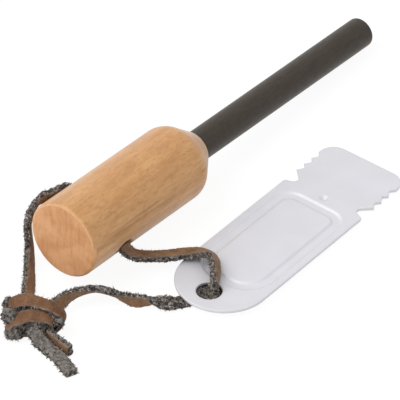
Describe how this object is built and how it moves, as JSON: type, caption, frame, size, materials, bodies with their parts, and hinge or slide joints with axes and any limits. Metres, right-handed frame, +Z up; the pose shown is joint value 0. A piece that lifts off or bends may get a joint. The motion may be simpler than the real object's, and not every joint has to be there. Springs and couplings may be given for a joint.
{
  "type": "ferro rod fire starter",
  "caption": "Ferro rod fire starter with a turned beech handle, a ferrocerium rod and a pressed steel striker tied on with a flat leather lace.",
  "frame": {"origin": "middle of the footprint of handle, rod and striker, on the surface they lie on", "axes": "+X along the rod from the handle's butt to the rod's tip, +Y from the striker towards the handle, +Z up"},
  "size_m": [0.1829, 0.0719, 0.0288],
  "materials": {
    "beech": "sanded and lightly oiled, grain along the handle",
    "ferrocerium": "dark satin coating",
    "epoxy": "cured resin",
    "striker_steel": "satin pressed sheet",
    "leather": "smooth grain side, rough suede side"
  },
  "bodies": {
    "handle_body": {"handle": "beech", "ferro_rod": "ferrocerium", "rod_epoxy": "epoxy", "lace_in_handle": "leather", "lace_left_run": "leather", "knot_upper_wrap": "leather", "knot_lower_wrap": "leather", "knot_core": "leather", "lace_tail_long": "leather", "lace_tail_short": "leather"},
    "lace_loop": {"lace_right_run": "leather", "lace_under_run": "leather"},
    "striker_body": {"striker": "striker_steel"}
  },
  "joints": [
    {"name": "loop_lift", "type": "hinge", "parent": "handle_body", "child": "lace_loop", "pos_m": [-0.05887, 0.00977, 0.0092], "axis": [-0.9808, 0.1006, -0.1671], "range_deg": [0, 90], "deforming": ["lace_right_run", "lace_under_run"]},
    {"name": "striker_swing", "type": "hinge", "parent": "lace_loop", "child": "striker_body", "pos_m": [-0.05306, -0.0182, 0.00249], "axis": [0.0184, 0, 0.9998], "range_deg": [-150, 20]}
  ]
}
